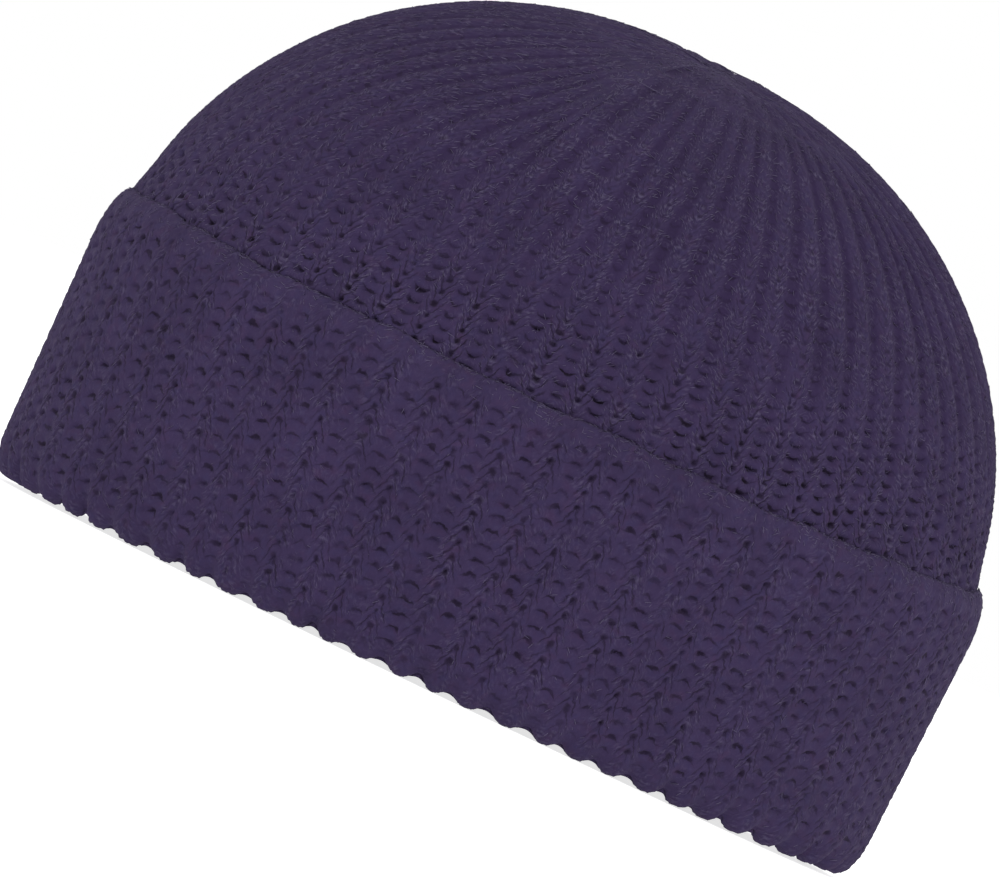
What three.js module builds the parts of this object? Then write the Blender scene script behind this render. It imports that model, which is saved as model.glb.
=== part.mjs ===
// A rib-knit fisherman beanie: a dome gathered at the top, and a turned-up cuff.
// Millimetres, +Z up. The hat rests on its fold at Z = 0, its long axis along X, its front at -Y.
import * as THREE from 'three';

// The room for the head, across the inside of the wall
const headLength = 195;
const headBreadth = 157;

// The heights above the fold
const hatHeight = 150;
const wallHeight = 67;
const cuffHeight = 67;

// The two layers of knitting, measured at the crest of a rib
const crownThickness = 4;
const cuffThickness = 4.2;
const layerGap = 0.3;

// The ribs
const ribCount = 62;
const ribDepth = 1.6;

// The fold at the bottom: its height inside, the flat ring it rests on and its rounded edges
const footHeight = 9;
const restInset = 5.5;
const restWidth = 2;
const foldRise = 10;
const footRound = 4;

// The cuff: the slope of its wall, its rolled top edge, how much higher the edge is over the ears,
// and how far the fold draws its ribs together
const cuffFlare = 1.2;
const edgeRoll = 5;
const edgeRise = 3.2;
const edgeRiseSharpness = 4;
const foldDraw = 4.4;

// The dome's roundness, as exponents: how full it is sideways, and how long its shoulder stays upright
const domeFullness = 0.44;
const domeShoulder = 1.8;

// The closure at the top, a little towards the front, and the dimple that it is drawn into
const closureX = 3;
const closureY = -12;
const closureDepth = 1.5;
const closureWidth = 14;

// The gores: towards the top, ribs run into the line at the end of each gore, as strongly as given here.
// The first line is at this share of the way round from +X
const goreCount = 4;
const firstGore = 0.189;
const goreGathers = [1.6, 1.6, 0.35, 1.6];
const goreOnset = 2.3;
const goreSoftness = 0.8;
const goreReach = 6;

// How finely the surfaces are divided
const pointsPerRib = 2;
const liningPointsPerRib = 1;
const domeBands = 13;
const liningBands = 9;
const foldBands = 3;
const edgeBands = 4;
const arcLengthSteps = 620;

// Grooves get shallower over this last share of the way in to the closure
const grooveFade = 0.25;

// The rows of the cuff's wall, as shares of its height between the fold and the rolled edge
const cuffWallRows = [0.35, 1];

const footWidth = crownThickness + layerGap + cuffThickness;
const crownInset = cuffThickness + layerGap;
const cuffOuter = { x: headLength / 2 + footWidth, y: headBreadth / 2 + footWidth };

const quarterTurn = Math.PI / 2;

const woolColor = new THREE.Color().setRGB(0.234, 0.196, 0.309, THREE.SRGBColorSpace);

function woolMaterial() {
  return new THREE.MeshStandardMaterial({ color: woolColor, roughness: 0.95, metalness: 0 });
}

// The half axes of the oval that lies this far inside the cuff's outer face
function ovalAt(inset) {
  return { x: cuffOuter.x - inset, y: cuffOuter.y - inset };
}

// Points on an oval, at shares of the length round it from +X, so that all ribs are equally wide
function pointsRound(shares, oval) {
  const ellipse = new THREE.EllipseCurve(0, 0, oval.x, oval.y);
  ellipse.arcLengthDivisions = arcLengthSteps;
  return shares.map((share) => ellipse.getPointAt(THREE.MathUtils.euclideanModulo(share, 1)));
}

// The first point of each rib lies on its crest, and the others in the groove beside it
function ringShares(perRib) {
  return Array.from({ length: ribCount * perRib }, (_, i) => i / (ribCount * perRib));
}

function isGroove(index, perRib) {
  return index % perRib !== 0;
}

// The fold draws ribs towards the middle of the front and of the back
function drawTogether(share, draw) {
  const girth = Math.PI * (cuffOuter.x + cuffOuter.y);
  return share + (draw / girth) * Math.sin(2 * (2 * Math.PI) * share);
}

// A ring of a wall, level but for its rise towards both ends of the oval
function wallRing({ inset, height, perRib, relief = 0, draw = 0, rise = 0 }) {
  const oval = ovalAt(inset);
  const shares = ringShares(perRib).map((share) => drawTogether(share, draw));
  return pointsRound(shares, oval).map((point, i) => {
    const depth = isGroove(i, perRib) ? relief : 0;
    const up = height + rise * Math.abs(point.x / oval.x) ** edgeRiseSharpness;
    return new THREE.Vector3(point.x * (1 - depth / oval.x), point.y * (1 - depth / oval.y), up);
  });
}

// Ribs crowd against the line at their gore's end, which takes them in as the dome narrows
function gatherIntoGores(share, onset) {
  if (onset <= 0) return share;
  const goresRound = (share - firstGore) * goreCount;
  const gore = Math.floor(goresRound);
  const across = goresRound - gore;
  const gather = onset * goreGathers[THREE.MathUtils.euclideanModulo(gore, goreCount)];
  const crowding = 1 + Math.min(goreReach, goreSoftness / gather);
  const moved = (across * (1 + gather)) / (1 + gather * across ** crowding);
  return firstGore + (gore + moved) / goreCount;
}

// The dome's height above the wall at a share of the way out from its middle
function domeHeight(out, rise) {
  return rise * (1 - Math.min(1, out) ** (1 / domeFullness)) ** (1 / domeShoulder);
}

// A ring of the dome. Its spread is 1 at the wall and 0 at the closure
function domeRing({ inset, spread, perRib, relief = 0 }) {
  const oval = ovalAt(inset);
  const rise = hatHeight - wallHeight - (inset - crownInset);
  const onset = (1 - spread) ** goreOnset;
  const shares = ringShares(perRib).map((share) => gatherIntoGores(share, onset));
  const lean = 1 - spread * spread;
  const dimple = closureDepth * Math.exp(-(((spread * oval.x) / closureWidth) ** 2));
  const grooveDepth = relief * Math.min(1, spread / grooveFade);
  return pointsRound(shares, oval).map((point, i) => {
    const x = point.x * spread + closureX * lean;
    const y = point.y * spread + closureY * lean;
    const up = domeHeight(Math.hypot(x / oval.x, y / oval.y), rise);
    const outward = new THREE.Vector3(x / oval.x ** 2, y / oval.y ** 2, up / rise ** 2).normalize();
    const place = new THREE.Vector3(x, y, wallHeight + up - dimple);
    return place.addScaledVector(outward, isGroove(i, perRib) ? -grooveDepth : 0);
  });
}

// The rings of one face of the dome, from the wall up to a single point at the closure
function domeFace({ inset, perRib, bands, relief = 0 }) {
  const rings = Array.from({ length: bands }, (_, band) => {
    const spread = Math.cos((band / bands) * quarterTurn) ** (2 * domeFullness);
    return domeRing({ inset, spread, perRib, relief });
  });
  const closure = domeRing({ inset, spread: 0, perRib: 1 }).slice(0, 1);
  return [...rings, closure];
}

// The triangles between two neighbouring rings, as pairs of ring and point.
// One ring may have twice the points of the other, or be a single point
function trianglesBetween(lower, upper) {
  const steps = Math.max(lower.count, upper.count);
  const lowerAt = (i) => lower.first + (Math.floor((i * lower.count) / steps) % lower.count);
  const upperAt = (i) => upper.first + (Math.floor((i * upper.count) / steps) % upper.count);
  const triangles = [];
  for (let i = 0; i < steps; i += 1) {
    triangles.push([lowerAt(i), lowerAt(i + 1), upperAt(i + 1)], [lowerAt(i), upperAt(i + 1), upperAt(i)]);
  }
  return triangles.filter((corners) => new Set(corners).size === corners.length);
}

// A closed surface through rings of points, each ring counter-clockwise seen from above
function surfaceThrough(rings, loops) {
  const starts = rings.map((_, r) => rings.slice(0, r).reduce((sum, ring) => sum + ring.length, 0));
  const spans = rings.map((ring, r) => ({ first: starts[r], count: ring.length }));
  const nextSpans = loops ? [...spans.slice(1), spans[0]] : spans.slice(1);
  const triangles = nextSpans.flatMap((next, r) => trianglesBetween(spans[r], next));
  const geometry = new THREE.BufferGeometry().setFromPoints(rings.flat());
  geometry.setIndex(triangles.flat());
  geometry.computeVertexNormals();
  return geometry;
}

// The crown: the lining side from its closure down, the edge that stands on the fold, and the outside up
function crownGeometry() {
  const lining = { inset: footWidth, perRib: liningPointsPerRib };
  const outside = { inset: crownInset, perRib: pointsPerRib, relief: ribDepth };
  const bottom = footHeight + layerGap;
  return surfaceThrough([
    ...domeFace({ ...lining, bands: liningBands }).reverse(),
    wallRing({ ...lining, height: bottom }),
    wallRing({ ...outside, height: bottom }),
    ...domeFace({ ...outside, bands: domeBands }),
  ], false);
}

// The fold's outer edge curves up from the flat ring, and its ribs start there
function foldRings() {
  return Array.from({ length: foldBands + 1 }, (_, band) => {
    const turn = (band / foldBands) * quarterTurn;
    return wallRing({
      inset: cuffFlare + (restInset - cuffFlare) * (1 - Math.sin(turn)),
      height: foldRise * (1 - Math.cos(turn)),
      perRib: pointsPerRib,
      relief: ribDepth * Math.sin(turn),
      draw: foldDraw,
    });
  });
}

// The cuff's wall comes out a little on its way up, and its ribs spread to an even width
function cuffWallRings() {
  const wallTop = cuffHeight - edgeRoll;
  return cuffWallRows.map((row) => wallRing({
    inset: cuffFlare * (1 - row),
    height: foldRise + (wallTop - foldRise) * row,
    perRib: pointsPerRib,
    relief: ribDepth,
    draw: foldDraw * (1 - row),
    rise: edgeRise * row,
  }));
}

// The rolled top edge, from the outside over to the inside, where the ribs end
function edgeRings() {
  return Array.from({ length: edgeBands }, (_, band) => {
    const turn = ((band + 1) / edgeBands) * (2 * quarterTurn);
    return wallRing({
      inset: (cuffThickness / 2) * (1 - Math.cos(turn)),
      height: cuffHeight - edgeRoll * (1 - Math.sin(turn)),
      perRib: turn > quarterTurn ? liningPointsPerRib : pointsPerRib,
      relief: ribDepth * Math.max(0, Math.cos(turn)),
      rise: edgeRise,
    });
  });
}

// The cuff: its outside up from the fold, the rolled edge, its inside down, and the foot
function cuffGeometry() {
  const plain = { perRib: liningPointsPerRib };
  return surfaceThrough([
    ...foldRings(),
    ...cuffWallRings(),
    ...edgeRings(),
    wallRing({ ...plain, inset: cuffThickness, height: footHeight }),
    wallRing({ ...plain, inset: footWidth, height: footHeight }),
    wallRing({ ...plain, inset: footWidth, height: footRound }),
    wallRing({ ...plain, inset: restInset + restWidth, height: 0 }),
  ], true);
}

function namedPiece(name, geometry) {
  const piece = new THREE.Mesh(geometry, woolMaterial());
  piece.name = name;
  return piece;
}

const beanie = new THREE.Group();
beanie.add(namedPiece('crown', crownGeometry()));
beanie.add(namedPiece('cuff', cuffGeometry()));

export default beanie;
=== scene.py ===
"""A rib-knit fisherman beanie in dark aubergine wool, felted by wear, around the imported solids.

Every length is in metres, +Z is up and the front of the hat is at -Y. The knitting runs as the real one
does: from the rolled edge down the outside of the cuff, round the fold and up to the closure. A place in
the knitting is a column, counted in ribs round the hat, and a length along that column.
"""

import math

import bpy
import numpy as np
from mathutils import Matrix, Vector


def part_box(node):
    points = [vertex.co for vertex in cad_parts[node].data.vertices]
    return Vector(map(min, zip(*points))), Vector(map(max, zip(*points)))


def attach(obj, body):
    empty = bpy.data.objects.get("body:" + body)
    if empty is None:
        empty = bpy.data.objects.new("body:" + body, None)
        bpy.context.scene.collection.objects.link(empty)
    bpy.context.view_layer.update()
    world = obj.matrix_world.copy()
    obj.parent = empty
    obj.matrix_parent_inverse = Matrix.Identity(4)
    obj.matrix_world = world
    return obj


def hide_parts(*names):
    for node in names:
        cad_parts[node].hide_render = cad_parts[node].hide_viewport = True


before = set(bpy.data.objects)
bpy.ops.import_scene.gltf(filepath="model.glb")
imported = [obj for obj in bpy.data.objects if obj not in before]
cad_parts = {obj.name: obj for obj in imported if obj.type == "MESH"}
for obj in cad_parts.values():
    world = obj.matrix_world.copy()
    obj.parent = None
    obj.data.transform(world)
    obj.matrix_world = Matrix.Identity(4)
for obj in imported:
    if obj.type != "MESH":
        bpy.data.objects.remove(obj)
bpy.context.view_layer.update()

MM = 0.001
TURN = 2 * math.pi
SEED = 62
rng = np.random.default_rng(SEED)

# The hat's sizes, the solids' own

HALF_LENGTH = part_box("cuff")[1][0]
HALF_BREADTH = 87 * MM
HAT_HEIGHT = 150 * MM
WALL_HEIGHT = 67 * MM
CROWN_THICKNESS = 4 * MM
CUFF_THICKNESS = 4.2 * MM
LAYER_GAP = 0.3 * MM
RIBS = 62
FOOT_HEIGHT = 9 * MM
REST_INSET = 5.5 * MM
REST_WIDTH = 2 * MM
FOLD_RISE = 10 * MM
FOOT_ROUND = 4 * MM
CUFF_FLARE = 1.2 * MM
EDGE_RISE = 3.2 * MM
EDGE_RISE_SHARPNESS = 4
FOLD_DRAW = 4.4 * MM
DOME_FULLNESS = 0.44
DOME_SHOULDER = 1.8
CLOSURE = (3 * MM, -12 * MM)
CLOSURE_DEPTH = 1.5 * MM
CLOSURE_WIDTH = 14 * MM
GORES = 4
FIRST_GORE = 0.189
GORE_GATHERS = np.array([1.6, 1.6, 0.35, 1.6])
GORE_ONSET = 2.3
GORE_SOFTNESS = 0.8
GORE_REACH = 6

CROWN_INSET = CUFF_THICKNESS + LAYER_GAP
FOOT_WIDTH = CROWN_INSET + CROWN_THICKNESS
CROWN_WALL = WALL_HEIGHT - FOOT_HEIGHT
RIB = math.pi * (HALF_LENGTH + HALF_BREADTH) / RIBS

# The stitches: how high a row is, how the legs of a knit stitch lean, and how yarn slims in narrow ribs

ROW = 3.5 * MM
LEG_LEAN = math.radians(27)
SLIMMING = 0.5

# Ovals, measured by the length round them from +X, so that all ribs are equally wide

OVAL_STEPS = 4096


def oval_table(ratio):
    """The angle at each share of the length round an oval with this breadth for its length."""
    angle = np.linspace(0, TURN, OVAL_STEPS + 1)
    x, y = np.cos(angle), ratio * np.sin(angle)
    length = np.concatenate([[0], np.cumsum(np.hypot(np.diff(x), np.diff(y)))])
    return length / length[-1], angle


OVAL_SHARES, OVAL_ANGLES = oval_table((HALF_BREADTH - CROWN_INSET) / (HALF_LENGTH - CROWN_INSET))


def oval(share, inset):
    """The point of the oval that lies this far inside the cuff's outer face."""
    angle = np.interp(np.mod(share, 1), OVAL_SHARES, OVAL_ANGLES)
    return (HALF_LENGTH - inset) * np.cos(angle), (HALF_BREADTH - inset) * np.sin(angle)


# The cuff's surface: a path down its outside and round the fold, swept round the hat.
# Its edge rolls over this height, with its crest this far in, and its plain band ends this far below the
# crest. The fold is this much higher at both ends of the oval, as the edge is

PATH_STEPS = 24
EDGE_ROLL = 12 * MM
CREST_INSET = 3.9 * MM
EDGE_BAND = 5.5 * MM
HEM_RISE = 0.9 * MM


def quarter(start, end, level_first):
    """A quarter of an oval from one (inset, height) to another, level at its start or at its end."""
    turn = np.linspace(0, math.pi / 2, PATH_STEPS)
    level, upright = (np.sin(turn), 1 - np.cos(turn)) if level_first else (1 - np.cos(turn), np.sin(turn))
    return [(start[0] + (end[0] - start[0]) * a, start[1] + (end[1] - start[1]) * b)
            for a, b in zip(level, upright)]


def cuff_path():
    """Insets and heights from the inside of the rolled edge to the foot's inner side."""
    roll_side = WALL_HEIGHT - EDGE_ROLL
    fold_end = REST_INSET + REST_WIDTH
    points = quarter((CUFF_THICKNESS, roll_side), (CREST_INSET, WALL_HEIGHT), False)
    points += quarter((CREST_INSET, WALL_HEIGHT), (0, roll_side), True)
    points += quarter((CUFF_FLARE, FOLD_RISE), (REST_INSET, 0), False)
    points += quarter((fold_end, 0), (FOOT_WIDTH, FOOT_ROUND), True)
    points += [(FOOT_WIDTH, FOOT_HEIGHT)]
    return np.array(points)


# The rolled edge isn't quite level: the waves round it, where each starts and how high it is

EDGE_WAVES = ((9, 1.0, 0.3 * MM), (23, 2.5, 0.22 * MM), (41, 0.4, 0.14 * MM))
WAVE_REACH = 15 * MM


def edge_wave(share):
    return sum(size * np.sin(TURN * count * share + start) for count, start, size in EDGE_WAVES)


CUFF_PATH = cuff_path()
CUFF_LENGTHS = np.concatenate([[0], np.cumsum(np.hypot(*np.diff(CUFF_PATH, axis=0).T))])
CUFF_LENGTH = CUFF_LENGTHS[-1]
CREST_LENGTH = CUFF_LENGTHS[PATH_STEPS - 1]
BAND_END = CREST_LENGTH + EDGE_BAND
ROLL_LENGTH = CUFF_LENGTHS[2 * PATH_STEPS - 1]
FOLD_START = CUFF_LENGTHS[2 * PATH_STEPS]
FOLD_END = CUFF_LENGTHS[4 * PATH_STEPS - 1]
ZONE_ENDS = (ROLL_LENGTH, FOLD_START, FOLD_END, CUFF_LENGTH)


def cuff_surface(column, along):
    inset = np.interp(along, CUFF_LENGTHS, CUFF_PATH[:, 0])
    height = np.interp(along, CUFF_LENGTHS, CUFF_PATH[:, 1])
    draw = np.interp(along, ZONE_ENDS, (0, FOLD_DRAW, FOLD_DRAW, 0))
    share = column / RIBS
    x, y = oval(share + draw / (RIB * RIBS) * np.sin(2 * TURN * share), inset)
    risen = np.interp(along, ZONE_ENDS, (EDGE_RISE, HEM_RISE, HEM_RISE, 0))
    waving = np.interp(along, (ROLL_LENGTH, ROLL_LENGTH + WAVE_REACH), (1, 0))
    height = height + risen * np.abs(x / (HALF_LENGTH - inset)) ** EDGE_RISE_SHARPNESS
    return np.stack([x, y, height + waving * edge_wave(share)], -1)


# The crown's surfaces: a wall, then a dome whose ribs run into the gores' lines

DOME_STEPS = 400
LEAST_GATHER = 1e-6


def dome_rise(inset):
    return HAT_HEIGHT - WALL_HEIGHT - (inset - CROWN_INSET)


def dome_height(out, rise):
    return rise * (1 - np.clip(out, 0, 1) ** (1 / DOME_FULLNESS)) ** (1 / DOME_SHOULDER)


def spread_table(inset, rise):
    """Lengths up a middling side of the dome, and the spread there: 1 at the wall, 0 at the closure."""
    turn = np.linspace(0, math.pi / 2, DOME_STEPS)
    spread = np.cos(turn) ** (2 * DOME_FULLNESS)
    out = spread * ((HALF_LENGTH + HALF_BREADTH) / 2 - inset)
    up = dome_height(spread, rise)
    return np.concatenate([[0], np.cumsum(np.hypot(np.diff(out), np.diff(up)))]), spread


def gathered(share, onset):
    """Ribs crowd against the line at their gore's end, which takes them in as the dome narrows."""
    gores = (share - FIRST_GORE) * GORES
    gore = np.floor(gores)
    across = gores - gore
    gather = np.maximum(onset * GORE_GATHERS[np.mod(gore, GORES).astype(int)], LEAST_GATHER)
    crowding = 1 + np.minimum(GORE_REACH, GORE_SOFTNESS / gather)
    moved = across * (1 + gather) / (1 + gather * across ** crowding)
    return FIRST_GORE + (gore + moved) / GORES


def crown_surface(inset):
    """The surface of the crown that lies this far inside the cuff's outer face, and its length."""
    rise = dome_rise(inset)
    lengths, spreads = spread_table(inset, rise)

    def surface(column, along):
        spread = np.interp(along - CROWN_WALL, lengths, spreads)
        share = gathered(column / RIBS, (1 - spread) ** GORE_ONSET)
        x, y = oval(share, inset)
        lean = 1 - spread ** 2
        x, y = x * spread + CLOSURE[0] * lean, y * spread + CLOSURE[1] * lean
        up = dome_height(np.hypot(x / (HALF_LENGTH - inset), y / (HALF_BREADTH - inset)), rise)
        dimple = CLOSURE_DEPTH * np.exp(-((spread * (HALF_LENGTH - inset) / CLOSURE_WIDTH) ** 2))
        height = np.where(along < CROWN_WALL, FOOT_HEIGHT + along, WALL_HEIGHT + up - dimple)
        return np.stack([x, y, height], -1)

    return surface, CROWN_WALL + lengths[-1]


CROWN, CROWN_LENGTH = crown_surface(CROWN_INSET)
LINING, LINING_LENGTH = crown_surface(FOOT_WIDTH)


# Ways out of a surface come from neighbouring points: this many ribs across, and this far along

ACROSS_STEP = 0.05
ALONG_STEP = 0.2 * MM
LEAST_LENGTH = 1e-12


def unit(vectors):
    return vectors / np.maximum(np.linalg.norm(vectors, axis=-1, keepdims=True), LEAST_LENGTH)


def place(surface, facing, column, along, depth):
    """Points below the crests of a surface, and the way out of it there. Facing is 1 or -1."""
    point = surface(column, along)
    across = surface(column + ACROSS_STEP, along) - surface(column - ACROSS_STEP, along)
    onward = surface(column, along + ALONG_STEP) - surface(column, along - ALONG_STEP)
    outward = unit(np.cross(across, onward)) * facing
    return point - outward * depth[..., None], outward


# Meshes from arrays. Knitting carries two maps: its place in the rib and its row, and then how dark the
# painted shade in its holes and in its grooves is

KNIT_MAP = "knit"
SHADE_MAP = "shade"


def mesh_piece(name, points, quads, caps=(), maps=None, walls=()):
    """A mesh that stands on the floor, never below it. It is smooth but for its caps and its walls."""
    mesh = bpy.data.meshes.new(name)
    points = points.copy()
    points[:, 2] = np.maximum(points[:, 2], 0)
    mesh.from_pydata(points.tolist(), [], quads.tolist() + [list(cap) for cap in caps])
    smooth = np.arange(len(mesh.polygons)) < len(quads)
    smooth[list(walls)] = False
    mesh.polygons.foreach_set("use_smooth", smooth)
    if maps is not None:
        corners = np.empty(len(mesh.loops), np.int32)
        mesh.loops.foreach_get("vertex_index", corners)
        for map_name, values in zip((KNIT_MAP, SHADE_MAP), (maps[:, :2], maps[:, 2:])):
            layer = mesh.uv_layers.new(name=map_name)
            layer.data.foreach_set("uv", values[corners].astype(np.float32).ravel())
    mesh.update()
    piece = bpy.data.objects.new(name, mesh)
    bpy.context.scene.collection.objects.link(piece)
    return piece


def shell(name, rows, is_ring, wall_rows):
    """A closed shell through rows of points and their maps. A ring's last row meets its first.

    The shell turns from one face of the knitting to the other after each of the wall rows.
    """
    count, around = rows.shape[:2]
    row = np.arange(count if is_ring else count - 1)[:, None]
    side = np.arange(around)
    after = (side + 1) % around
    onward = (row + 1) % count
    corners = [row * around + side, row * around + after, onward * around + after, onward * around + side]
    quads = np.stack(np.broadcast_arrays(*corners), -1).reshape(-1, 4)
    caps = [] if is_ring else [side[::-1], (count - 1) * around + side]
    flat = rows.reshape(-1, rows.shape[-1])
    walls = (np.mod(wall_rows, count)[:, None] * around + side).ravel()
    return mesh_piece(name, flat[:, :3], quads, caps, flat[:, 3:], walls)


FIBRE_SIDES = 3


def prisms(name, starts, ends, outward, radius):
    """Closed straight prisms, one for each pair of points."""
    count = len(starts)
    along = unit(ends - starts)
    sideways = unit(np.cross(along, outward))
    upward = np.cross(sideways, along)
    turn = np.arange(FIBRE_SIDES)[:, None] / FIBRE_SIDES * TURN
    ring = radius * (np.cos(turn) * sideways[:, None] + np.sin(turn) * upward[:, None])
    points = np.concatenate([starts[:, None] + ring, ends[:, None] + ring], 1)
    first = np.arange(count)[:, None] * 2 * FIBRE_SIDES
    far = first + FIBRE_SIDES
    side = np.arange(FIBRE_SIDES)
    after = (side + 1) % FIBRE_SIDES
    quads = np.stack([first + after, first + side, far + side, far + after], -1)
    caps = np.concatenate([first + side, far + side[::-1]])
    return mesh_piece(name, points.reshape(-1, 3), quads.reshape(-1, 4), caps)


# The relief of the rib: felted yarn, with a line between the legs of neighbouring knit stitches, a hole in
# each knit stitch and another under each purl arc, which sags. Each hole strays and varies by chance

LEG_LINE_DEPTH = 0.45 * MM
LEG_LINE_WIDTH = 0.38 * MM
LEGS_SHARE = 0.31
LEGS_SOFTNESS = 0.06
KNIT_HOLE_WIDTH = 0.65 * MM
KNIT_HOLE_HEIGHT = 0.6 * MM
KNIT_HOLE_DEPTH = 0.8 * MM
PURL_HOLE_WIDTH = 1.65 * MM
PURL_HOLE_HEIGHT = 0.42 * MM
PURL_HOLE_DEPTH = 0.75 * MM
PURL_SAG = 0.17
PURL_BULGE = 0.24 * MM
KNIT_STRAY = 0.2 * MM
PURL_STRAY = 0.35 * MM
PURL_UNEVEN = 0.3
DEPTH_UNEVEN = 0.3
MOST_LUCK = 1.5
GROOVE_NARROWNESS = 1.4

# Chances from the normal distribution, how far apart in them neighbouring ribs, rows and kinds are, and
# the kinds

LUCK_COUNT = 4093
LUCK = rng.normal(0, 1, LUCK_COUNT)
LUCK_STEPS = (131, 17, 977)
KNIT_DEPTH_LUCK = 1
PURL_DEPTH_LUCK = 2
KNIT_STRAY_LUCK = 3
PURL_WIDTH_LUCK = 4
PURL_STRAY_LUCK = 5


def luck(rib, row, kind):
    """The same chance for the same stitch and the same kind of chance."""
    place_in_list = rib * LUCK_STEPS[0] + row * LUCK_STEPS[1] + kind * LUCK_STEPS[2]
    return LUCK[place_in_list.astype(int) % LUCK_COUNT]


# Ribs narrower than the first of these are felted flat, and those wider than the second aren't felted

FLAT_RIB = 1.4 * MM
FULL_RIB = 4 * MM


def slim(pitch):
    """Yarn is squeezed where its rib is narrow, though less than the rib is."""
    return np.minimum(pitch / RIB, 1) ** SLIMMING


def felted(pitch):
    """The narrowest ribs are felted flat."""
    return np.clip((pitch - FLAT_RIB) / (FULL_RIB - FLAT_RIB), 0, 1)


def rib_pitch(surface, column, along):
    """How wide one of the wall's ribs is here."""
    return np.linalg.norm(surface(column + 0.5, along) - surface(column - 0.5, along), axis=-1)


# Waves in the knitting: how many go round the hat, where each starts, the length along the column in which
# it turns by one radian, and its size, in ribs for the lean of the columns and in rows for the rows

LEAN_WAVES = ((17, 0, 23 * MM, 0.06), (6, 0, -19 * MM, 0.07))
ROW_WAVES = ((3, 1, math.inf, 0.3), (13, 0, 31 * MM, 0.14))


def waves(table, column, along):
    turn = TURN * column / RIBS
    return sum(size * np.sin(count * turn + start + along / length) for count, start, length, size in table)


def wander(column, along):
    """Ribs lean a little to and fro, in ribs."""
    return waves(LEAN_WAVES, column, along)


def knit_place(column, along, ribs):
    """The rib of a place, the share of the way across it, and the row, which isn't quite level."""
    place_in_ribs = (column - wander(column, along)) * ribs / RIBS
    rib = np.round(place_in_ribs)
    return np.mod(rib, ribs), place_in_ribs - rib, along / ROW + waves(ROW_WAVES, column, along)


def hole(wide, high):
    """1 in the middle of a hole, and 0 well outside it."""
    return np.exp(-(wide ** 2) - high ** 2)


def relief(surface, column, along, ribs, groove, holes):
    """Heights over the surface for this number of ribs round the hat.

    The groove is as deep as given, and the holes are as open as given, where 1 is fully.
    """
    pitch = rib_pitch(surface, column, along) * RIBS / ribs
    thin = slim(pitch)
    rib, share, row = knit_place(column, along, ribs)
    gap = np.mod(np.where(share > 0, rib, rib - 1), ribs)
    across = np.abs(share) * pitch
    stitch = np.round(row)
    depth = KNIT_HOLE_DEPTH * (1 + DEPTH_UNEVEN * luck(rib, stitch, KNIT_DEPTH_LUCK))
    off_rib = share * pitch + KNIT_STRAY * luck(rib, stitch, KNIT_STRAY_LUCK)
    off_stitch = (row - stitch) * ROW
    knit_hole = depth * hole(off_rib / (thin * KNIT_HOLE_WIDTH), off_stitch / KNIT_HOLE_HEIGHT)
    off_gap = np.where(share > 0, share - 0.5, share + 0.5) * pitch
    late = row - 0.5 - PURL_SAG * (off_gap / (thin * PURL_HOLE_WIDTH)) ** 2
    arc = np.round(late)
    uneven = 1 + PURL_UNEVEN * np.clip(luck(gap, arc, PURL_WIDTH_LUCK), -MOST_LUCK, MOST_LUCK)
    width = thin * PURL_HOLE_WIDTH * uneven
    beside = (off_gap + PURL_STRAY * luck(gap, arc, PURL_STRAY_LUCK)) / width
    depth = PURL_HOLE_DEPTH * (1 + DEPTH_UNEVEN * luck(gap, arc, PURL_DEPTH_LUCK))
    purl_hole = depth * hole(beside ** 2, (late - arc) * ROW / PURL_HOLE_HEIGHT)
    line = row - across / (thin * math.tan(LEG_LEAN) * ROW)
    line = (line - np.round(line)) * ROW * math.sin(LEG_LEAN)
    on_legs = np.clip((LEGS_SHARE - np.abs(share)) / LEGS_SOFTNESS, 0, 1)
    lines = LEG_LINE_DEPTH * on_legs * np.exp(-((line / LEG_LINE_WIDTH) ** 2))
    bulge = PURL_BULGE * (1 - on_legs) * (0.5 - 0.5 * np.cos(TURN * (late - 0.5)))
    dip = groove * (0.5 - 0.5 * np.cos(TURN * share)) ** GROOVE_NARROWNESS
    return -thin * felted(pitch) * (dip + lines + bulge * holes + holes * (knit_hole + purl_hole))


# Loose fibres that lie on the knit ribs: how thick they are, how deep their roots are, how long they are,
# how far from the middle of the rib they start, in half widths of its legs, and how far inside and outside
# the crest of the cuff's edge they stand on it

FIBRE = 0.09 * MM
FIBRE_ROOT = 0.04 * MM
FIBRE_LENGTHS = (0.6 * MM, 1.7 * MM)
FIBRE_PLACES = (0.1, 1.4)
RIM_REACH = (2 * MM, 1.5 * MM)


def fibres(name, surface, facing, height, zones, each, lean, spread, lifts):
    """Short straight fibres, this many for each stitch, which lean this way on average, in radians.

    Their tips are lifted by a share of their length between these two.
    """
    starts, ends, ways = [], [], []
    for ribs, first, last in zones:
        count = round(each * ribs * (last - first) / ROW)
        rib = rng.integers(0, ribs, count)
        along = rng.uniform(first, last, count)
        side = rng.choice([-1.0, 1.0], count)
        column = (rib + side * LEGS_SHARE * rng.uniform(*FIBRE_PLACES, count)) * RIBS / ribs
        column = column + wander(column, along)
        pitch = rib_pitch(surface, column, along)
        length = rng.uniform(*FIBRE_LENGTHS, count)
        angle = side * lean + rng.normal(0, spread, count)
        tip_column = column + np.sin(angle) * length / pitch
        tip_along = along + np.cos(angle) * length
        lift = rng.uniform(*lifts, count) * length
        start, outward = place(surface, facing, column, along, FIBRE_ROOT - height(column, along))
        tip = place(surface, facing, tip_column, tip_along, -lift - height(tip_column, tip_along))[0]
        starts.append(start)
        ends.append(tip)
        ways.append(outward)
    return prisms(name, np.concatenate(starts), np.concatenate(ends), np.concatenate(ways), FIBRE)


# Nodes of materials


def nodes_of(thing):
    thing.use_nodes = True
    thing.node_tree.nodes.clear()
    return thing.node_tree


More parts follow.
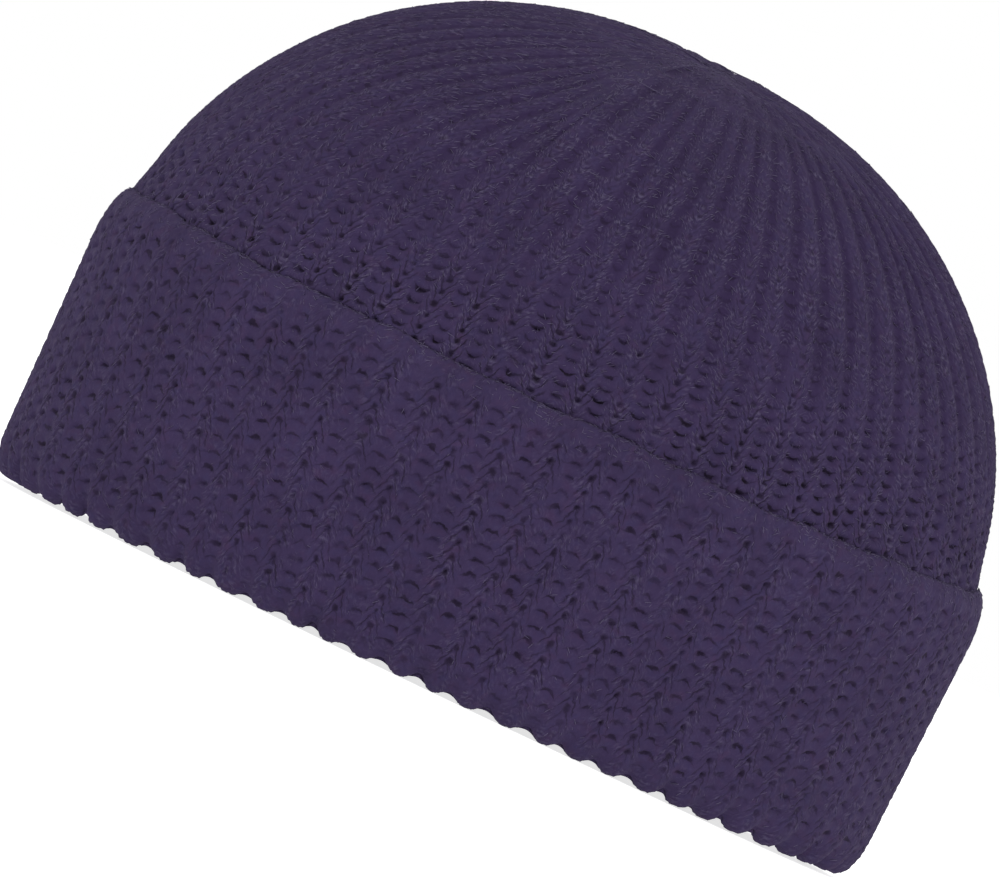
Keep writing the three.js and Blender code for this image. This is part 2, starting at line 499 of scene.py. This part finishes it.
def linked(tree, kind, inputs=(), **settings):
    """A node whose inputs are values or the outputs of other nodes."""
    node = tree.nodes.new(kind)
    for name, value in settings.items():
        setattr(node, name, value)
    for socket, value in dict(inputs).items():
        if isinstance(value, bpy.types.NodeSocket):
            tree.links.new(value, node.inputs[socket])
        else:
            node.inputs[socket].default_value = value
    return node


def noise(tree, where, scale, detail, roughness=0.5):
    """Noise with this many features in a metre, along each way of its coordinates."""
    stretched = linked(tree, "ShaderNodeMapping", {"Vector": where, "Scale": scale}).outputs["Vector"]
    noisy = {"Vector": stretched, "Scale": 1.0, "Detail": detail, "Roughness": roughness}
    return linked(tree, "ShaderNodeTexNoise", noisy).outputs["Fac"]


def between(tree, value, low, high, start, end, **settings):
    """From start to end while the value goes from low to high, and level outside that range."""
    ends = {"Value": value, "From Min": low, "From Max": high, "To Min": start, "To Max": end}
    return linked(tree, "ShaderNodeMapRange", ends, **settings).outputs["Result"]


def smooth_step(tree, value, low, high, start, end):
    return between(tree, value, low, high, start, end, interpolation_type="SMOOTHSTEP")


def pattern(tree, on_hat, kind):
    """One of the random patterns on the wool."""
    scale, detail, *ends = kind
    return between(tree, noise(tree, on_hat, scale, detail), *ends)


def blended(tree, share, first, second):
    inputs = {"Factor": share, "A": first, "B": second}
    return linked(tree, "ShaderNodeMix", inputs, data_type="RGBA").outputs[2]


def maths(tree, operation, *values):
    """The result of a sum on values or the outputs of other nodes."""
    return linked(tree, "ShaderNodeMath", dict(enumerate(values)), operation=operation).outputs[0]


def off_middle(tree, row, middle):
    """How far a row is from the nearest whole row past this middle."""
    return maths(tree, "SUBTRACT", maths(tree, "FRACT", maths(tree, "SUBTRACT", row, middle - 0.5)), 0.5)


MARK_SOFTNESS = 1.6


def hole_shade(tree, wide, high):
    """1 in the middle of an oval whose half axes are both 1, and 0 a little outside it."""
    squares = [maths(tree, "MULTIPLY", way, way) for way in (wide, high)]
    return smooth_step(tree, maths(tree, "ADD", *squares), 0.0, MARK_SOFTNESS, 1.0, 0.0)


# The wool's colours. The groove colour is painted shade in the grooves and also the colour of darker fibres;
# the deepest one is painted shade in the holes and crevices

AUBERGINE = (0.0375, 0.025, 0.0685, 1)
BLUE_FLECK = (0.036, 0.027, 0.076, 1)
PLUM_FLECK = (0.044, 0.0245, 0.066, 1)
PALE_FIBRE = (0.098, 0.082, 0.145, 1)
SHADED_GROOVE_AND_DARK_FIBRE = (0.028, 0.017, 0.053, 1)
PAINTED_HOLE_SHADE = (0.008, 0.0045, 0.011, 1)

# The painted shade in holes and crevices, as half widths in ribs and half heights in rows: the holes in knit
# stitches, the holes under purl arcs, and the thin arms on both sides of those. A line between the legs of
# knit stitches has a half height alone. The shares say how dark the painted shade of the holes in knit
# stitches, the arms and the lines is. The painted shade of grooves darkens between these two places across
# the rib, and the lines fade over this width at the end of the legs

KNIT_SHADE = (0.09, 0.24)
PURL_SHADE = (0.18, 0.13)
ARM_SHADE = (0.25, 0.085)
LEG_SHADE = 0.19
HOLE_SHARES = (0.95, 0.75, 0.75)
GROOVE_SHADE = (0.2, 0.42)
LEGS_FADE = 0.1

# How far the edges of the marks are frayed, in ribs and in rows, and by how fine a noise

FRAY = (0.12, 0.42)
FRAY_SCALE = 420.0
FRAY_DETAIL = 4.0

# Strokes of paler and darker fibres lean over the legs of knit stitches. Their width and length come first,
# then the values of their noise between which they go from darkest to palest, and those two. They go on this
# far past the legs, and are this weak over the purl columns and where the grooves' painted shade is faint

STROKE_LEAN = math.radians(34)
STROKE_SIZE = (0.42 * MM, 1.5 * MM, 1.0)
STROKE_DETAIL = 2.0
STROKE_LEVELS = (0.38, 0.66, -0.6, 1.0)
STROKES_REACH = 0.04
PURL_STROKES = 0.45
PALE_GROOVE_STROKES = 0.6

# Random patterns on the wool: features in a metre along each way of the hat, detail, the values between
# which each goes from its start to its end, and those two

HOLE_NARROWNESS = ((250, 250, 250), 1.0, 0.3, 0.7, 0.7, 1.6)
HOLE_LOWNESS = ((290, 290, 290), 1.0, 0.3, 0.7, 0.7, 1.5)
HOLE_CHANCE = ((230, 230, 230), 1.0, 0.33, 0.62, 0.2, 1.0)
STROKE_STRAY = ((400, 400, 400), 1.0, 0, 1, -1.1 * MM, 1.1 * MM)
STROKE_CLUSTERS = ((300, 300, 300), 1.0, 0.42, 0.64, 0.1, 1.0)
BLUE_PATTERN = ((420, 420, 420), 2.0, 0.5, 0.75, 0.0, 0.8)
PLUM_PATTERN = ((330, 330, 390), 2.0, 0.54, 0.76, 0.0, 0.8)
PATCHES = ((70, 70, 70), 2.0, 0.3, 0.7, 0.92, 1.08)


def frayed_place(tree, on_hat, share, row):
    """The share of the way across the rib and the row, moved a little to and fro."""
    noisy = {"Vector": on_hat, "Scale": FRAY_SCALE, "Detail": FRAY_DETAIL}
    frayed = linked(tree, "ShaderNodeTexNoise", noisy).outputs["Color"]
    fray = linked(tree, "ShaderNodeSeparateColor", {"Color": frayed})
    return [maths(tree, "ADD", value, between(tree, fray.outputs[way], 0, 1, -FRAY[way], FRAY[way]))
            for way, value in enumerate((share, row))]


def painted_crevice_shade(tree, on_hat, share, row):
    """How dark the painted shade in the rib's holes, in their arms and in the lines between its legs is."""
    knit_high = maths(tree, "DIVIDE", off_middle(tree, row, 0.0), KNIT_SHADE[1])
    knit_hole = hole_shade(tree, maths(tree, "DIVIDE", share, KNIT_SHADE[0]), knit_high)
    beside = maths(tree, "DIVIDE", maths(tree, "SUBTRACT", 0.5, share), PURL_SHADE[0])
    beside = maths(tree, "MULTIPLY", beside, pattern(tree, on_hat, HOLE_NARROWNESS))
    squared = maths(tree, "MULTIPLY", beside, beside)
    late = maths(tree, "SUBTRACT", row, maths(tree, "MULTIPLY", squared, PURL_SAG))
    purl_high = maths(tree, "DIVIDE", off_middle(tree, late, 0.5), PURL_SHADE[1])
    low = maths(tree, "MULTIPLY", purl_high, pattern(tree, on_hat, HOLE_LOWNESS))
    purl_hole = hole_shade(tree, squared, low)
    arm_wide = maths(tree, "MULTIPLY", beside, PURL_SHADE[0] / ARM_SHADE[0])
    arm_high = maths(tree, "MULTIPLY", purl_high, PURL_SHADE[1] / ARM_SHADE[1])
    arms = hole_shade(tree, arm_wide, arm_high)
    leg = maths(tree, "MULTIPLY", share, RIB / (math.tan(LEG_LEAN) * ROW))
    leg = maths(tree, "ABSOLUTE", off_middle(tree, maths(tree, "SUBTRACT", row, leg), 0.0))
    on_legs = smooth_step(tree, share, LEGS_SHARE - LEGS_FADE, LEGS_SHARE, 1.0, 0.0)
    legs = maths(tree, "MULTIPLY", smooth_step(tree, leg, 0.0, LEG_SHADE, 1.0, 0.0), on_legs)
    painted_marks = purl_hole
    for others, part in zip((knit_hole, arms, legs), HOLE_SHARES):
        painted_marks = maths(tree, "MAXIMUM", painted_marks, maths(tree, "MULTIPLY", others, part))
    return painted_marks


def leg_strokes(tree, on_hat, share, row):
    """Strokes of paler and darker fibres, as positive and negative values."""
    aside = maths(tree, "ADD", maths(tree, "MULTIPLY", share, RIB), pattern(tree, on_hat, STROKE_STRAY))
    place_on_leg = {"X": aside, "Y": maths(tree, "MULTIPLY", row, ROW)}
    leg_place = linked(tree, "ShaderNodeCombineXYZ", place_on_leg).outputs["Vector"]
    turned = {"Vector": leg_place, "Rotation": (0, 0, -STROKE_LEAN), "Scale": STROKE_SIZE}
    along_leg = linked(tree, "ShaderNodeMapping", turned, vector_type="TEXTURE").outputs["Vector"]
    noisy = {"Vector": along_leg, "Scale": 1.0, "Detail": STROKE_DETAIL}
    strokes = between(tree, linked(tree, "ShaderNodeTexNoise", noisy).outputs["Fac"], *STROKE_LEVELS)
    return maths(tree, "MULTIPLY", strokes, pattern(tree, on_hat, STROKE_CLUSTERS))


def map_values(tree, name):
    vector = linked(tree, "ShaderNodeUVMap", uv_map=name).outputs["UV"]
    split = linked(tree, "ShaderNodeSeparateXYZ", {"Vector": vector})
    return split.outputs["X"], split.outputs["Y"]


def rib_shades(tree, on_hat):
    """Painted shade in the holes, strokes of fibres on the knit legs, and painted shade in the grooves."""
    exact_share, exact_row = map_values(tree, KNIT_MAP)
    hole_shade_strength, groove_shade = map_values(tree, SHADE_MAP)
    share, row = frayed_place(tree, on_hat, exact_share, exact_row)
    # Painted shade in the holes, their arms and the lines between the legs
    painted_marks = maths(tree, "MULTIPLY", painted_crevice_shade(tree, on_hat, share, row), hole_shade_strength)
    painted_marks = maths(tree, "MULTIPLY", painted_marks, pattern(tree, on_hat, HOLE_CHANCE))
    leg_ends = (LEGS_SHARE - LEGS_FADE, LEGS_SHARE + STROKES_REACH)
    on_legs = smooth_step(tree, share, *leg_ends, 1.0, PURL_STROKES)
    strokes = maths(tree, "MULTIPLY", leg_strokes(tree, on_hat, exact_share, exact_row), on_legs)
    strokes = maths(tree, "MULTIPLY", strokes, between(tree, groove_shade, 0, 1, PALE_GROOVE_STROKES, 1.0))
    # Painted shade in the grooves
    groove = maths(tree, "MULTIPLY", smooth_step(tree, share, *GROOVE_SHADE, 0.0, 1.0), groove_shade)
    return painted_marks, strokes, groove


# The strands of the yarn: features in a metre along each way of the hat, their noise, the values at which
# they start to be pale and are palest, the values between which they go from dull to bright, and how much
# they stand out of the yarn

STRAND_SCALE = (1300, 1300, 700)
STRAND_DETAIL = 3.0
STRAND_ROUGHNESS = 0.65
STRAND_PALE = (0.56, 0.74)
STRAND_RANGE = (0.3, 0.7)
STRAND_LIGHT = (0.95, 1.05)
STRAND_HEIGHT = 0.5
BUMP_STRENGTH = 0.6
BUMP_HEIGHT = 0.25 * MM
WOOL_SURFACE = {"Roughness": 1.0, "Specular IOR Level": 0.1, "Sheen Weight": 0.04, "Sheen Roughness": 0.6,
                "Sheen Tint": (0.5, 0.45, 0.6, 1)}


def wool(name, brightness, pale, holes=0.0, strokes=0.0, ground=AUBERGINE):
    """Heathered carded wool: blue and plum flecks, pale fibres along the yarn, and painted shade in holes and
    grooves. The holes argument says how dark the painted shade in the holes is; without it no shade is
    painted.
    """
    material = bpy.data.materials.new(name)
    tree = nodes_of(material)
    on_hat = linked(tree, "ShaderNodeTexCoord").outputs["Object"]
    strands = noise(tree, on_hat, STRAND_SCALE, STRAND_DETAIL, STRAND_ROUGHNESS)
    colour = blended(tree, pattern(tree, on_hat, BLUE_PATTERN), ground, BLUE_FLECK)
    colour = blended(tree, pattern(tree, on_hat, PLUM_PATTERN), colour, PLUM_FLECK)
    colour = blended(tree, between(tree, strands, *STRAND_PALE, 0.0, pale), colour, PALE_FIBRE)
    relief_height = maths(tree, "MULTIPLY", strands, STRAND_HEIGHT)
    if holes:
        hole_shade_mask, bright, groove = rib_shades(tree, on_hat)
        # Painted shade in the grooves
        colour = blended(tree, groove, colour, SHADED_GROOVE_AND_DARK_FIBRE)
        colour = blended(tree, maths(tree, "MULTIPLY", bright, strokes), colour, PALE_FIBRE)
        # Darker fibre strokes, in the same colour as the grooves' painted shade
        colour = blended(tree, maths(tree, "MULTIPLY", bright, -strokes), colour, SHADED_GROOVE_AND_DARK_FIBRE)
        # Painted shade in the holes, their arms and the lines between the legs, as dark as the holes argument
        # says
        colour = blended(tree, maths(tree, "MULTIPLY", hole_shade_mask, holes), colour, PAINTED_HOLE_SHADE)
        relief_height = maths(tree, "SUBTRACT", maths(tree, "ADD", relief_height, bright), hole_shade_mask)
    streaks = between(tree, strands, *STRAND_RANGE, *(light * brightness for light in STRAND_LIGHT))
    value = maths(tree, "MULTIPLY", pattern(tree, on_hat, PATCHES), streaks)
    shade = linked(tree, "ShaderNodeHueSaturation", {"Color": colour, "Value": value}).outputs["Color"]
    bumpy = {"Height": relief_height, "Strength": BUMP_STRENGTH, "Distance": BUMP_HEIGHT}
    bumps = linked(tree, "ShaderNodeBump", bumpy).outputs["Normal"]
    surface = {"Base Color": shade, "Normal": bumps, **WOOL_SURFACE}
    shader = linked(tree, "ShaderNodeBsdfPrincipled", surface)
    linked(tree, "ShaderNodeOutputMaterial", {"Surface": shader.outputs["BSDF"]})
    return material


def finish_piece(piece, material):
    piece.data.materials.append(material)
    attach(piece, "root")


# The knitted shells: points round them, the lengths between their rows, where their first row is, and how
# deep their backs lie. Their last row is this far from the closure, and the relief fades over this last
# length. Ribs are joined two by two at these spreads of the dome, each time over this length

SIDES = 14 * RIBS
LINING_SIDES = 8 * RIBS
SIDE_STEP = 0.7 * MM
TOP_STEP = 0.75 * MM
CUFF_STEP = 0.84 * MM
LINING_STEP = 1.5 * MM
BACKING_STEP = 12 * MM
FIRST_LENGTH = 0.5 * MM
SHELL_DEPTH = 2.5 * MM
LINING_DEPTH = 1.4 * MM
CLOSURE_GAP = 1.2 * MM
CLOSURE_CALM = 8 * MM
RIB_COUNTS = (RIBS, 31, 16, 8)
JOIN_SPREADS = (0.32, 0.16, 0.08)
JOIN_REACH = 4 * MM


def evenly(first, last, step):
    return np.linspace(first, last, round((last - first) / step) + 1)


def all_ribs(along):
    return RIBS


def unshaded(column, along):
    return np.zeros_like(column), np.zeros_like(column)


def knitted_rows(surface, facing, lengths, sides, height, ribs=all_ribs, shades=unshaded):
    """Rows of points with their maps, at the heights that this function gives."""
    columns = np.arange(sides)[None, :] / sides * RIBS
    along = lengths[:, None] + np.zeros_like(columns)
    columns = columns + np.zeros_like(along)
    _, share, row = knit_place(columns, along, ribs(along))
    points = place(surface, facing, columns, along, -height(columns, along))[0]
    return np.concatenate([points, np.stack([np.abs(share), row, *shades(columns, along)], -1)], -1)


def backing_rows(surface, facing, lengths, sides, depth):
    return knitted_rows(surface, facing, lengths, sides, lambda column, along: np.full_like(column, -depth))


def joins(length_at):
    """Where ribs are knitted together into fewer: the lengths between one count and the next."""
    return [length_at(spread) for spread in JOIN_SPREADS]


def crown_length_at(inset):
    lengths, spreads = spread_table(inset, dome_rise(inset))
    return lambda spread: CROWN_WALL + np.interp(-spread, -spreads, lengths)


CROWN_JOINS = joins(crown_length_at(CROWN_INSET))
LINING_JOINS = joins(crown_length_at(FOOT_WIDTH))


def crown_ribs(along):
    return np.array(RIB_COUNTS)[np.searchsorted(CROWN_JOINS, along)]


def lining_ribs(along):
    return np.array(RIB_COUNTS)[np.searchsorted(LINING_JOINS, along)]


def crown_height(surface, length, joined, groove, holes):
    """The crown's relief, whose ribs are joined two by two on the way to the closure."""
    def height(column, along):
        bounds = [-np.inf] + list(joined) + [np.inf]
        total = np.zeros_like(along)
        for ribs, low, high in zip(RIB_COUNTS, bounds, bounds[1:]):
            begun = np.clip((along - low) / JOIN_REACH + 0.5, 0, 1) if np.isfinite(low) else 1.0
            ended = np.clip((along - high) / JOIN_REACH + 0.5, 0, 1) if np.isfinite(high) else 0.0
            seen = relief(surface, column, along, ribs, groove(column, along), holes(column, along))
            total = total + (begun - ended) * seen
        return total * np.clip((length - along) / CLOSURE_CALM, 0, 1)
    return height


# The crown's grooves: how deep they are and how dark their painted shade is at these lengths, and how much
# stronger both are on the right

GROOVE_LENGTHS = (CROWN_WALL, CROWN_WALL + 8 * MM, CROWN_WALL + 45 * MM, CROWN_LENGTH - 60 * MM,
                  CROWN_LENGTH - 20 * MM)
GROOVE_DEPTHS = (0.35 * MM, 0.55 * MM, 1.05 * MM, 1.25 * MM, 0.6 * MM)
GROOVE_SHADE_LENGTHS = (CROWN_WALL, CROWN_WALL + 20 * MM, CROWN_WALL + 60 * MM)
GROOVE_SHADES = (0.2, 0.4, 1.25)
GROOVES_LOPSIDED = 0.16

# The crown's holes: how open they are at the wall, over what length they close, how much later on the
# right, the share of them that stays open, and how dark their painted shade is at the most. Between these
# lengths the faintest painted shade of the holes goes from the first of these to the second

HOLES_OPEN = 1.6
HOLES_LENGTH = 54 * MM
HOLES_LOPSIDED = 6 * MM
HOLES_LEFT = 0.06
DARKEST_HOLE_SHADE = 1.4
FAINT_LENGTHS = (CROWN_WALL + HOLES_LENGTH, CROWN_LENGTH - 40 * MM)
FAINTEST_HOLE_SHADE = (0.7, 0.2)


def lopsided(column):
    """Grooves are deeper, and their painted shade darker, on the right of the crown than on its left."""
    return 1 + GROOVES_LOPSIDED * np.cos(TURN * column / RIBS)


def crown_groove(column, along):
    """Grooves deepen on the way up the crown, and get shallower round the closure."""
    return lopsided(column) * np.interp(along, GROOVE_LENGTHS, GROOVE_DEPTHS)


def crown_holes(column, along):
    """Holes close on the way up the crown, which is stretched most at the wall, and on the left sooner."""
    end = CROWN_WALL + HOLES_LENGTH + HOLES_LOPSIDED * np.cos(TURN * column / RIBS)
    return HOLES_OPEN * np.clip((end - along) / HOLES_LENGTH, HOLES_LEFT, 1)


def crown_shades(column, along):
    """Painted shade of holes and grooves. The grooves' shade is darker higher up, but not where ribs are
    joined, nor where they are felted flat.
    """
    groove = np.interp(along, GROOVE_SHADE_LENGTHS, GROOVE_SHADES) * lopsided(column)
    for join in CROWN_JOINS:
        groove = groove * np.clip(np.abs(along - join) / JOIN_REACH, 0, 1)
    pitch = rib_pitch(CROWN, column, along) * RIBS / crown_ribs(along)
    flat = felted(pitch)
    faint = np.interp(along, FAINT_LENGTHS, FAINTEST_HOLE_SHADE)
    return np.clip(crown_holes(column, along), faint * flat, DARKEST_HOLE_SHADE), groove * flat


# The lining's grooves and holes, and their painted shade, are the same everywhere

LINING_GROOVE = 0.6 * MM
LINING_HOLES = 0.6
LINING_SHADE = 0.3


def lining_groove(column, along):
    return np.full_like(along, LINING_GROOVE)


def lining_holes(column, along):
    return np.full_like(along, LINING_HOLES)


def lining_shades(column, along):
    return lining_holes(column, along), np.full_like(along, LINING_SHADE)


# The cuff's grooves, on its band, below it and as notches in the fold, with waves in the notches: how many go
# round, where each starts and its share of the depth. Its holes open past the band and close round the fold

EDGE_GROOVE = 0.15 * MM
CUFF_GROOVE = 0.5 * MM
CUFF_SHADE = 0.15
FOLD_NOTCH = 1.7 * MM
NOTCH_WAVES = ((19, 0.4, 0.22), (37, 2.0, 0.2))
PAST_BAND = (BAND_END - 1 * MM, BAND_END + 2 * MM)
ROUND_FOLD = (FOLD_START + 2 * MM, FOLD_START + 8 * MM, FOLD_END, CUFF_LENGTH)
FOLD_HOLES = 0.2


def cuff_holes(along):
    return np.interp(along, PAST_BAND + ROUND_FOLD[:2], (0, 1, 1, FOLD_HOLES))


# How dark the painted shade in the cuff's holes and grooves is
def cuff_shades(column, along):
    return cuff_holes(along), np.interp(along, PAST_BAND, (0, CUFF_SHADE))


def cuff_height(column, along):
    """The rolled edge is plain. Purl columns stay clear of the floor, as notches in the fold."""
    uneven = sum(size * np.sin(TURN * count * column / RIBS + start) for count, start, size in NOTCH_WAVES)
    notch = np.interp(along, ROUND_FOLD, (0, FOLD_NOTCH, FOLD_NOTCH, 0)) * (1 + uneven)
    groove = np.interp(along, PAST_BAND, (EDGE_GROOVE, CUFF_GROOVE)) + notch
    return relief(cuff_surface, column, along, RIBS, groove, cuff_holes(along))


# The crown is made from behind the cuff's edge to the closure, in two halves that lap by this length, with
# the end of each half this deep under the other. It swells by this much, this far round the cuff's edge

CROWN_FROM = CROWN_WALL - 8 * MM
CROWN_SPLIT = CROWN_WALL + 60 * MM
CROWN_TO = CROWN_LENGTH - CLOSURE_GAP
SEAM_LAP = 1.5 * MM
SEAM_DIP = 0.04 * MM
CREASE_SWELL = 1.0 * MM
SWELL_REACH = 5 * MM

crown_plain = crown_height(CROWN, CROWN_LENGTH, CROWN_JOINS, crown_groove, crown_holes)
lining_relief = crown_height(LINING, LINING_LENGTH, LINING_JOINS, lining_groove, lining_holes)


def crown_relief(column, along):
    """The crown swells a little over the cuff's edge, so that no gap shows between them."""
    off_edge = along - CROWN_WALL - EDGE_RISE / 2
    return crown_plain(column, along) + CREASE_SWELL * np.exp(-((off_edge / SWELL_REACH) ** 2))


def side_relief(column, along):
    """The lower half of the crown runs on just under the upper half, and the upper under the lower."""
    return crown_relief(column, along) - SEAM_DIP * np.clip((along - CROWN_SPLIT) / SEAM_LAP, 0, 1)


def top_relief(column, along):
    return crown_relief(column, along) - SEAM_DIP * np.clip((CROWN_SPLIT - along) / SEAM_LAP, 0, 1)


def crown_half(first, last, step, height):
    """The rows of the outside of one half of the crown, and those of its back."""
    outside = knitted_rows(CROWN, 1, evenly(first, last, step), SIDES, height, crown_ribs, crown_shades)
    return outside, backing_rows(CROWN, 1, evenly(first, last, BACKING_STEP), SIDES, SHELL_DEPTH)


def crown_side():
    outside, inside = crown_half(CROWN_FROM, CROWN_SPLIT + SEAM_LAP, SIDE_STEP, side_relief)
    return shell("crown_side", np.concatenate([outside, inside[::-1]]), True, [len(outside) - 1, -1])


def crown_top():
    outside, inside = crown_half(CROWN_SPLIT - SEAM_LAP, CROWN_TO, TOP_STEP, top_relief)
    return shell("crown_top", np.concatenate([inside[::-1], outside]), False, [len(inside) - 1])


def lining():
    lengths = (FIRST_LENGTH, LINING_LENGTH - CLOSURE_GAP)
    rows = evenly(*lengths, LINING_STEP)
    seen = knitted_rows(LINING, -1, rows, LINING_SIDES, lining_relief, lining_ribs, lining_shades)
    hidden = backing_rows(LINING, -1, evenly(*lengths, BACKING_STEP), LINING_SIDES, LINING_DEPTH)
    return shell("lining", np.concatenate([seen[::-1], hidden]), False, [len(seen) - 1])


def cuff():
    """The cuff's outside, round the fold to its foot, and then up behind the edge."""
    lengths = evenly(FIRST_LENGTH, CUFF_LENGTH, CUFF_STEP)
    outside = knitted_rows(cuff_surface, -1, lengths, SIDES, cuff_height, shades=cuff_shades)
    inside = outside[[0, 0]].copy()
    inside[:, :, 0], inside[:, :, 1] = oval(np.arange(SIDES) / SIDES, CUFF_THICKNESS)
    inside[0, :, 2] = FOOT_HEIGHT
    return shell("cuff_shell", np.concatenate([inside[::-1], outside[::-1]]), True, [0, 1, -1])


# The holes argument sets how dark the painted shade in the holes is
crown_wool = wool("crown_wool", brightness=0.93, pale=0.15, holes=0.7, strokes=0.8)
cuff_wool = wool("cuff_wool", brightness=0.92, pale=0.12, holes=0.75, strokes=0.65)
lining_wool = wool("lining_wool", brightness=0.95, pale=0.15, holes=0.5, strokes=0.4)
loose = wool("pale_fibres", brightness=0.9, pale=1.0, ground=PALE_FIBRE)

crown_pieces = [crown_side(), crown_top()]
lining_piece = lining()
cuff_piece = cuff()

zone_ends = [CROWN_FROM] + CROWN_JOINS + [CROWN_TO]
crown_zones = list(zip(RIB_COUNTS, zone_ends, zone_ends[1:]))
cuff_zones = [(RIBS, BAND_END, FOLD_END)]
edge_zones = [(RIBS, CREST_LENGTH, BAND_END)]
rim_zones = [(RIBS, CREST_LENGTH - RIM_REACH[0], CREST_LENGTH + RIM_REACH[1])]
crown_fuzz = fibres("crown_fuzz", CROWN, 1, crown_relief, crown_zones,
                    each=5, lean=STROKE_LEAN, spread=0.45, lifts=(0, 0.1))
cuff_fuzz = fibres("cuff_fuzz", cuff_surface, -1, cuff_height, cuff_zones,
                   each=1, lean=STROKE_LEAN, spread=0.4, lifts=(0, 0.1))
edge_fuzz = fibres("edge_fuzz", cuff_surface, -1, cuff_height, edge_zones,
                   each=14, lean=1.3, spread=0.8, lifts=(0, 0.12))
rim_fuzz = fibres("rim_fuzz", cuff_surface, -1, cuff_height, rim_zones,
                  each=24, lean=1.6, spread=0.9, lifts=(0, 0.25))

for piece in crown_pieces:
    finish_piece(piece, crown_wool)
finish_piece(lining_piece, lining_wool)
finish_piece(cuff_piece, cuff_wool)
finish_piece(crown_fuzz, loose)
finish_piece(cuff_fuzz, loose)
finish_piece(edge_fuzz, loose)
finish_piece(rim_fuzz, loose)
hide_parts("crown")
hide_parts("cuff")

# The floor, the light and the camera

FLOOR_REACH = 6.0
WHITE = (1, 1, 1, 1)
FLOOR_SURFACE = {"Base Color": (0.6, 0.6, 0.6, 1), "Roughness": 0.9, "Specular IOR Level": 0.0,
                 "Emission Color": WHITE, "Emission Strength": 0.75}
SKY_STRENGTH = 1.0
KEY_PLACE = (0.6, -2.2, 1.3)
KEY_SIZE = 1.2
KEY_POWER = 10
LIT_POINT = (0, 0, 0.07)


def floor():
    corners = FLOOR_REACH * np.array([(-1, -1, 0), (1, -1, 0), (1, 1, 0), (-1, 1, 0)])
    piece = mesh_piece("floor", corners, np.array([[0, 1, 2, 3]]))
    material = bpy.data.materials.new("pale_floor")
    tree = nodes_of(material)
    shader = linked(tree, "ShaderNodeBsdfPrincipled", FLOOR_SURFACE)
    linked(tree, "ShaderNodeOutputMaterial", {"Surface": shader.outputs["BSDF"]})
    piece.data.materials.append(material)


def soft_light(name, spot, size, power):
    lamp = bpy.data.lights.new(name, "AREA")
    lamp.size = size
    lamp.energy = power
    thing = bpy.data.objects.new(name, lamp)
    thing.location = spot
    thing.rotation_mode = "QUATERNION"
    thing.rotation_quaternion = (Vector(LIT_POINT) - Vector(spot)).to_track_quat("-Z", "Y")
    bpy.context.scene.collection.objects.link(thing)


def studio():
    world = bpy.data.worlds.new("studio")
    bpy.context.scene.world = world
    tree = nodes_of(world)
    sky = linked(tree, "ShaderNodeBackground", {"Color": WHITE, "Strength": SKY_STRENGTH})
    linked(tree, "ShaderNodeOutputWorld", {"Surface": sky.outputs["Background"]})
    soft_light("key", KEY_PLACE, KEY_SIZE, KEY_POWER)
    bpy.context.scene.view_settings.view_transform = "Standard"


VIEW_CENTRE = Vector((-6.3 * MM, 0, 55.1 * MM))
VIEW_WIDTH = 218.6 * MM
VIEW_DISTANCE = 6.0
VIEW_ELEVATION = math.radians(0.45)
VIEW_ROLL = math.radians(25.6)
SENSOR_WIDTH = 36
FARTHEST = 50


def camera():
    lens = bpy.data.cameras.new("camera")
    lens.sensor_width = SENSOR_WIDTH
    lens.lens = SENSOR_WIDTH * VIEW_DISTANCE / VIEW_WIDTH
    lens.clip_end = FARTHEST
    thing = bpy.data.objects.new("camera", lens)
    back = Vector((0, -math.cos(VIEW_ELEVATION), math.sin(VIEW_ELEVATION)))
    upright = back.to_track_quat("Z", "Y").to_matrix()
    thing.rotation_mode = "QUATERNION"
    thing.rotation_quaternion = (upright @ Matrix.Rotation(VIEW_ROLL, 3, "Z")).to_quaternion()
    thing.location = VIEW_CENTRE + back * VIEW_DISTANCE
    bpy.context.scene.collection.objects.link(thing)
    bpy.context.scene.camera = thing


floor()
studio()
camera()
